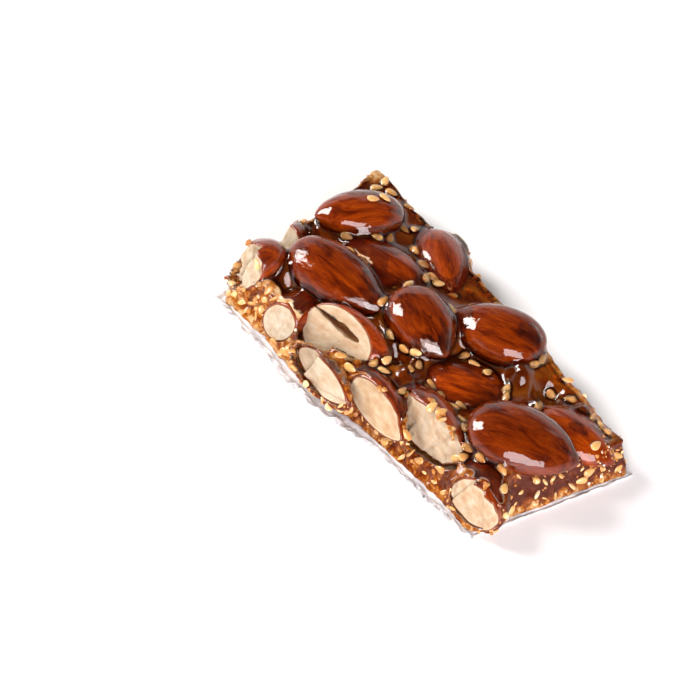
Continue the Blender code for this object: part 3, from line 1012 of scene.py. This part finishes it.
def rim_places():
    """The places on the caramel just outside each almond's rim, and the ways there from its middle."""
    reaches = np.arange(3.0, 15.0, 0.3)
    start, ways = [], []
    for almond in ALMONDS:
        for degrees in RIM_GRAINS.get(almond.name, ()):
            ways.append(degrees)
            start.append(middle_of(almond) + reaches[:, None] * heading_of(degrees))
    start = np.concatenate(start)
    start[:, 2] = ABOVE
    places, met = march(start, DOWN)
    clear = (met & (places[:, 2] > 2.0) & (nut_distance(places) > 0.5)).reshape(-1, len(reaches))
    first = clear.argmax(axis=1) + np.arange(len(ways)) * len(reaches)
    found = clear.any(axis=1)
    return places[first[found]], np.array(ways)[found]


def lay_placed(grains, rng):
    """Adds the grains that stand out and those round the almonds' rims."""
    places, _ = march(np.array([(x, y, ABOVE) for x, y, _ in PLACED_GRAINS]), DOWN)
    for at, normal, (_, _, degrees) in zip(places, slope(all_outside, places), PLACED_GRAINS):
        turn = turn_from(unit(normal), heading_of(degrees))
        grains.append((at + unit(normal) * 0.2, turn, 1.0, rng.uniform(0.5, 0.85)))
    places, ways = rim_places()
    for at, normal, degrees in zip(places, slope(all_outside, places), ways):
        if clear_of(grains, at, 1.7):
            along = heading_of(degrees + 90 + rng.uniform(-35, 35))
            turn = turn_from(unit(normal) + random_way(rng, 0.2), along)
            at = at + unit(normal) * rng.uniform(0.0, 0.25)
            grains.append((at, turn, 1.0, rng.uniform(0.35, 0.85)))


def strew_top(grains, rng):
    """Strews grains on the top, more of them round the almonds and at the edge, and sinks some."""
    start = [(rng.uniform(-50, 49), rng.uniform(-24, 29), ABOVE) for _ in range(TOP_TRIES)]
    places, met = march(np.array(start), DOWN)
    normals = slope(all_outside, places)
    nuts = nut_distance(places)
    sides = side_distance(places)
    for k in np.flatnonzero(met & (places[:, 2] > 2.0) & (nuts > 0.5)):
        rim = nuts[k] < 2.2 or sides[k] > -3.0
        if rng.random() > (0.22 if rim else 0.14):
            continue
        sink = rng.uniform(-0.2, 0.3) if rng.random() < 0.75 else rng.uniform(0.5, 1.4)
        at = places[k] - unit(normals[k]) * sink
        if float(nut_distance(at[None])[0]) < 0.45 or not clear_of(grains, at, 2.6):
            continue
        normal = unit(normals[k]) + random_way(rng, 0.25 if sink < 0.5 else 1.0)
        turn = turn_from(normal, heading_of(rng.uniform(0, 360)))
        grains.append((at, turn, rng.uniform(0.88, 1.06), rng.uniform(0.3, 0.85)))


def strew_sides(grains, rng):
    """Strews grains over the cut sides, and gives the crumbs there: place, size, paleness and luck."""
    start, way = [], []
    for _ in range(SIDE_TRIES):
        x, y = outline_point(rng.uniform(0, 4))
        out = unit(np.array((x, 2.0 * y, 0.0)))
        start.append(np.array((x, y, rng.uniform(1.2, 9.0))) + out * 5.0)
        way.append(-out)
    places, met = march(np.array(start), np.array(way))
    normals = slope(all_outside, places)
    nuts = nut_distance(places)
    crumbs = []
    for k in np.flatnonzero(met & (nuts > 0.0) & (places[:, 2] > 1.4) & (places[:, 1] < 30.4)):
        at, pale, on_nut = places[k], crumbly(places[k]), nuts[k] < 0.45
        glassy_side = at[0] > 42.0 and at[2] > 2.5
        if on_nut or rng.random() < (0.1 if glassy_side else 0.35):
            crumbs.append((at, rng.uniform(0.25, 0.6) * (0.7 if on_nut else 1.0), pale, rng.random()))
            continue
        at = at - unit(normals[k]) * rng.uniform(0.1, 0.8)
        if clear_of(grains, at, 1.55 if pale > 0.4 else 1.85):
            turn = turn_from(unit(normals[k]) + random_way(rng, 0.9), random_way(rng))
            grains.append((at, turn, rng.uniform(0.8, 1.05), rng.uniform(0.25, 1.0)))
    return crumbs


def crumbly(p):
    """How far broken caramel is pale crumb, from 0 to 1: at the front left end and at two corners."""
    x, y, z = p[..., 0], p[..., 1], p[..., 2]
    left = smoothstep(-8.0, -20.0, x) * smoothstep(0.0, -10.0, y)
    tip = 1 - smoothstep(3.0, 9.0, np.hypot(x + 48.0, y - 28.0))
    foot = smoothstep(20.0, 36.0, x) * (1 - smoothstep(1.5, 3.5, z))
    return np.clip(0.75 * left + 0.7 * tip + 0.35 * foot, 0.0, 1.0)


def glassy(p):
    """How far broken caramel is dark and glassy, from 0 to 1: on the right side over its foot."""
    return smoothstep(38.0, 43.0, p[:, 0]) * smoothstep(2.4, 4.0, p[:, 2])


def golden_rim(p, side):
    """How far the top is thin and golden, from 0 to 1: at the back left corner and the back right rim."""
    tip = 1 - smoothstep(2.0, 6.5, np.hypot(p[:, 0] + 48.5, p[:, 1] - 27.5))
    rim = smoothstep(-2.0, -0.8, side) * smoothstep(6.0, 13.0, p[:, 1]) * smoothstep(4.0, 20.0, p[:, 0])
    return np.clip(0.85 * tip + 0.75 * rim, 0.0, 1.0) * smoothstep(4.0, 6.5, p[:, 2])


# Where golden crumbs cling to a torn rim: from and to, in degrees round the face, and how many.
TORN_RIMS = {
    "almond_cut_upper": (15.0, 140.0, 60),
    "almond_broken_left": (-150.0, 60.0, 40),
    "almond_broken_corner": (20.0, 130.0, 22),
    "almond_cut_middle": (60.0, 150.0, 12),
}


def torn_rim_crumbs(rng):
    """Golden bits of caramel and grain on the skin beside the torn faces."""
    crumbs = []
    for almond in OPENED:
        if almond.name not in TORN_RIMS:
            continue
        first, last, count = TORN_RIMS[almond.name]
        axes = face_axes(almond)
        clumps = [(rng.uniform(first, last), rng.uniform(0.0, 1.5)) for _ in range(count // 5)]
        for _ in range(count):
            clump, depth = rng.choice(clumps)
            a = math.radians(clump + rng.gauss(0.0, 3.5))
            way = axes[:, 0] * math.cos(a) + axes[:, 1] * math.sin(a)
            inward = max(0.0, depth + rng.gauss(0.0, 0.35))
            centre = middle_of(almond) + axes[:, 2] * (almond.cuts[0].distance - 0.3 - inward)
            line = centre + np.arange(0.0, 15.0, 0.05)[:, None] * way
            at = line[int((almond_distance(almond, line) < 0.0).sum()) - 1]
            size = 0.2 + 0.6 * rng.random() ** 2
            if float(cut_distance(almond, at[None])[0]) < -0.1:
                crumbs.append((at - way * 0.3 * size, size, 0.35, rng.uniform(0.2, 0.9)))
    return crumbs


def seeds_reach(p, seeds):
    """The distance from the nearest grain, no more than 3 mm."""
    d = np.full(len(p), 3.0)
    for close, away in Patch(p).near_seeds(seeds):
        d[close] = np.minimum(d[close], away)
    return d


def crumbs_piece(crumbs, rng, finish):
    """Broken bits on the cut sides, as small lumps with flat faces."""
    shape = bmesh.new()
    bmesh.ops.create_icosphere(shape, subdivisions=1, radius=1.0)
    ball = np.array([v.co[:] for v in shape.verts])
    ball_faces = [tuple(v.index for v in face.verts) for face in shape.faces]
    shape.free()
    points, faces, tone = [], [], []
    for number, (at, size, pale, luck) in enumerate(crumbs):
        stretch = np.array([rng.uniform(0.6, 1.3) for _ in range(3)])
        jolt = np.array([random_way(rng, 0.22) for _ in ball])
        turn = turn_from(random_way(rng), np.array((0.3, 0.5, 0.8)))
        points.append((ball + jolt) * stretch * size @ turn.T + at)
        faces += [tuple(number * len(ball) + v for v in face) for face in ball_faces]
        white = 0.5 if luck > 0.93 else 0.0
        tone += [0.15 + 0.45 * luck + 0.4 * pale * (0.4 + 0.6 * luck) + white] * len(ball)
    values = {"tone": np.clip(tone, 0, 1)}
    return mesh_piece("crumbs", np.concatenate(points), faces, finish, values, smooth=False)


def seeds_piece(seeds, finish):
    shape, faces = egg_mesh(SEED_RINGS, SEED_SIDES, SEED_SIZE[0], seed_sizes)
    points, all_faces, tone = [], [], []
    for at, turn, size, shade in seeds:
        base = len(points) * len(shape)
        points.append(shape * size @ turn.T + at)
        all_faces += [tuple(base + v for v in face) for face in faces]
        tone += [shade] * len(shape)
    return mesh_piece("sesame_seeds", np.concatenate(points), all_faces, finish, {"tone": tone})


# -------- wafer


def outline_point(t):
    """A point round the slab's underside, t from 0 to 4 from the front left corner."""
    side = int(t) % 4
    u = t - int(t)
    places = list(CORNERS.values())
    (ax, ay), (bx, by) = places[side], places[(side + 1) % 4]
    x, y = ax + (bx - ax) * u, ay + (by - ay) * u
    if side == 0:
        y -= front_bulge(u)
    return x, y


WAFER_OVERHANG = {"front": 2.6, "right": 0.8, "back": 0.9, "left": 2.2}


def wafer_piece(finish):
    """A crumpled sheet, flat under the slab, torn and curled where it stands out."""
    steps = int(480 / COARSE)
    shares = np.array((-2.5, -1.2, -0.5, -0.1, 0.12, 0.3, 0.48, 0.66, 0.84, 1.0))
    turns = 4 * np.arange(steps) / steps
    edge = np.array([outline_point(t) for t in turns])
    out = edge * np.array((1.0, 2.0))
    out /= np.linalg.norm(out, axis=1)[:, None]
    overhang = np.array([WAFER_OVERHANG[("front", "right", "back", "left")[int(t)]] for t in turns])
    flat = np.column_stack((edge, np.full(steps, 3.0)))
    overhang = overhang * (1 + 0.4 * noise(flat, 4.0, 31) + 0.3 * noise(flat, 1.3, 32))
    under, over = [], []
    for share in shares:
        reach = overhang * share if share > 0 else np.full(steps, share)
        place = edge + out * reach[:, None]
        folds = np.column_stack((edge, 9.0 + 0.5 * reach))
        creases = np.column_stack((place, np.full(steps, 9.0)))
        free = max(share, 0.0)
        crumple = 1.6 * np.abs(noise(folds, 2.2, 33)) + 0.9 * np.abs(noise(creases, 1.2, 34))
        crumple = 0.1 + crumple * np.minimum(overhang / 2.4, 1.0)
        low = smoothstep(0.0, 0.7, free) * crumple + 0.2 * free**2
        thick = UNDERSIDE + 0.1 if share <= 0 else 0.16 + 0.45 * max(0.0, 1 - share / 0.3)
        under.append(np.column_stack((place, low)))
        over.append(np.column_stack((place, low + thick)))
    points = np.concatenate(under + over[::-1])
    rows = 2 * len(shares)
    faces = [list(range(steps)), list(range((rows - 1) * steps, rows * steps))[::-1]]
    faces += band_faces(rows, steps)
    return mesh_piece("wafer_paper", points, faces, finish, smooth=False)


# -------- stage

CAMERA_TURNS = (41.6, 45.9, 12.6)
CAMERA_AWAY = 0.9
SENSOR_WIDTH = 36.0
LENS_LENGTH = 208.29
PHOTO_SIZE = 700
FOCAL_PIXELS = 4050.0
# The point of the slab, in millimetres, that shows at this pixel of the photograph.
SLAB_POINT = Vector((2.6, 0.0, 5.0))
SLAB_PIXEL = (423, 368)
FLOOR_HALF = 2500.0


def look_camera():
    """A camera at the photograph's angle: turned round the slab, looking down, and rolled a little."""
    azimuth, elevation, roll = (math.radians(v) for v in CAMERA_TURNS)
    level = math.cos(elevation)
    back = Vector((math.sin(azimuth) * level, -math.cos(azimuth) * level, math.sin(elevation)))
    right = Vector((math.cos(azimuth), math.sin(azimuth), 0))
    up = back.cross(right)
    right, up = (
        right * math.cos(roll) + up * math.sin(roll),
        up * math.cos(roll) - right * math.sin(roll),
    )
    lens = bpy.data.cameras.new("camera")
    lens.sensor_width = SENSOR_WIDTH
    lens.lens = LENS_LENGTH
    lens.clip_start = 0.01
    across, down = ((pixel - PHOTO_SIZE / 2) / FOCAL_PIXELS for pixel in SLAB_PIXEL)
    basis = Matrix((right, up, back)).transposed().to_4x4()
    basis.translation = SLAB_POINT * MM - (right * across - up * down - back) * CAMERA_AWAY
    camera = add_object("camera", lens)
    camera.matrix_world = basis
    bpy.context.scene.camera = camera
    return right, up, back


def softbox(name, way, away, size, power, colour):
    """An area light that faces the slab from a direction."""
    light = bpy.data.lights.new(name, "AREA")
    light.shape = "RECTANGLE"
    light.size, light.size_y = size
    light.energy = power
    light.color = colour
    obj = add_object(name, light)
    way = Vector(way).normalized()
    obj.location = way * away
    obj.rotation_euler = way.to_track_quat("Z", "Y").to_euler()


def make_stage():
    """The camera, two soft lights, a pale sky that darkens upwards, and the floor."""
    right, up, back = look_camera()

    def seen(r, u, b):
        return right * r + up * u + back * b

    softbox("window_left", seen(-0.62, 0.74, 0.25), 0.6, (0.24, 0.30), 5.0, (1.0, 0.985, 0.96))
    softbox("panel_front", seen(0.14, -0.36, 0.92), 0.7, (0.54, 0.50), 9.0, (1.0, 0.93, 0.95))

    world = bpy.data.worlds.new("studio")
    bpy.context.scene.world = world
    world.use_nodes = True
    sky = Nodes(world.node_tree)
    way = sky.node("ShaderNodeTexCoord").outputs["Generated"]
    up_share = sky.node("ShaderNodeSeparateXYZ", {0: way}).outputs["Z"]
    ahead = Vector((-back.x, -back.y, 0.0)).normalized()
    ahead_share = sky.node("ShaderNodeVectorMath", {0: way, 1: ahead}, operation="DOT_PRODUCT")
    height = sky.math("MULTIPLY_ADD", ahead_share.outputs["Value"], -0.14, up_share)
    light = sky.tree.nodes["Background"].inputs
    sky.give(light["Color"], sky.ramp(height, ((0.0, 0.98), (0.24, 0.92), (0.44, 0.08), (1.0, 0.02))))
    sky.give(light["Strength"], 1.0)

    corners = [(x * FLOOR_HALF, y * FLOOR_HALF, 0) for x, y in ((-1, -1), (1, -1), (1, 1), (-1, 1))]
    floor = mesh_piece("floor", corners, ((0, 1, 2, 3),), floor_material(), smooth=False)
    bpy.context.scene.view_settings.view_transform = "Standard"
    bpy.context.scene.view_settings.look = "None"


# -------- build

CARAMEL_BOX = ((-52.0, -28.0, -0.3), (51.0, 31.0, 15.6))


def caramel_piece(seeds, finish):
    """The clear body round almonds and grains, with what its colours need at each point."""

    def clear(p):
        return caramel_distance(p, seeds)

    points, faces = surface_net(clear, *CARAMEL_BOX, CARAMEL_STEP)
    points = settle(clear, points)
    points, faces = keep_main_body(points, faces)
    side = in_parts(rough_side_distance, points)
    to_edge = np.minimum(surface_height(points) - points[:, 2], points[:, 2] - UNDERSIDE)
    from_nuts = in_parts(nut_distance, points)
    from_seeds = in_parts(lambda p: seeds_reach(p, seeds), points)
    golden = golden_rim(points, side)
    edge = 1 - smoothstep(0.3, 2.2, to_edge) + 1.2 * crumbly(points)
    deep = smoothstep(0.0, 1.6, from_nuts) * smoothstep(0.1, 0.8, from_seeds)
    values = {
        "cut": np.maximum(smoothstep(-0.5, -0.1, side), golden),
        "edge": edge - 0.1 * golden - 1.3 * glassy(points),
        "deep": deep * (1 - 0.7 * smoothstep(-2.6, -0.8, side)),
    }
    body = mesh_piece("caramel_body", points, faces, finish, values)
    merge_flat(body, UNDERSIDE + 0.06)
    return body


def main():
    rng = random.Random(SEED)
    make_stage()
    skin, opened = skin_material(), opened_material()
    for almond in ALMONDS:
        piece = opened_almond(almond, opened) if almond.cuts else whole_almond(almond, skin)
        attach(piece, "root")
        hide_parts(almond.name)

    seeds = []
    lay_placed(seeds, rng)
    strew_top(seeds, rng)
    crumbs = strew_sides(seeds, rng)
    grains = seeds_piece(seeds, sesame_material())
    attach(grains, "root")

    bits = crumbs_piece(crumbs + torn_rim_crumbs(rng), rng, crumb_material())
    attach(bits, "root")

    caramel = caramel_piece(seeds, caramel_material())
    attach(caramel, "root")
    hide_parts("caramel_slab")

    wafer = wafer_piece(wafer_material())
    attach(wafer, "root")
    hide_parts("wafer_sheet")


main()
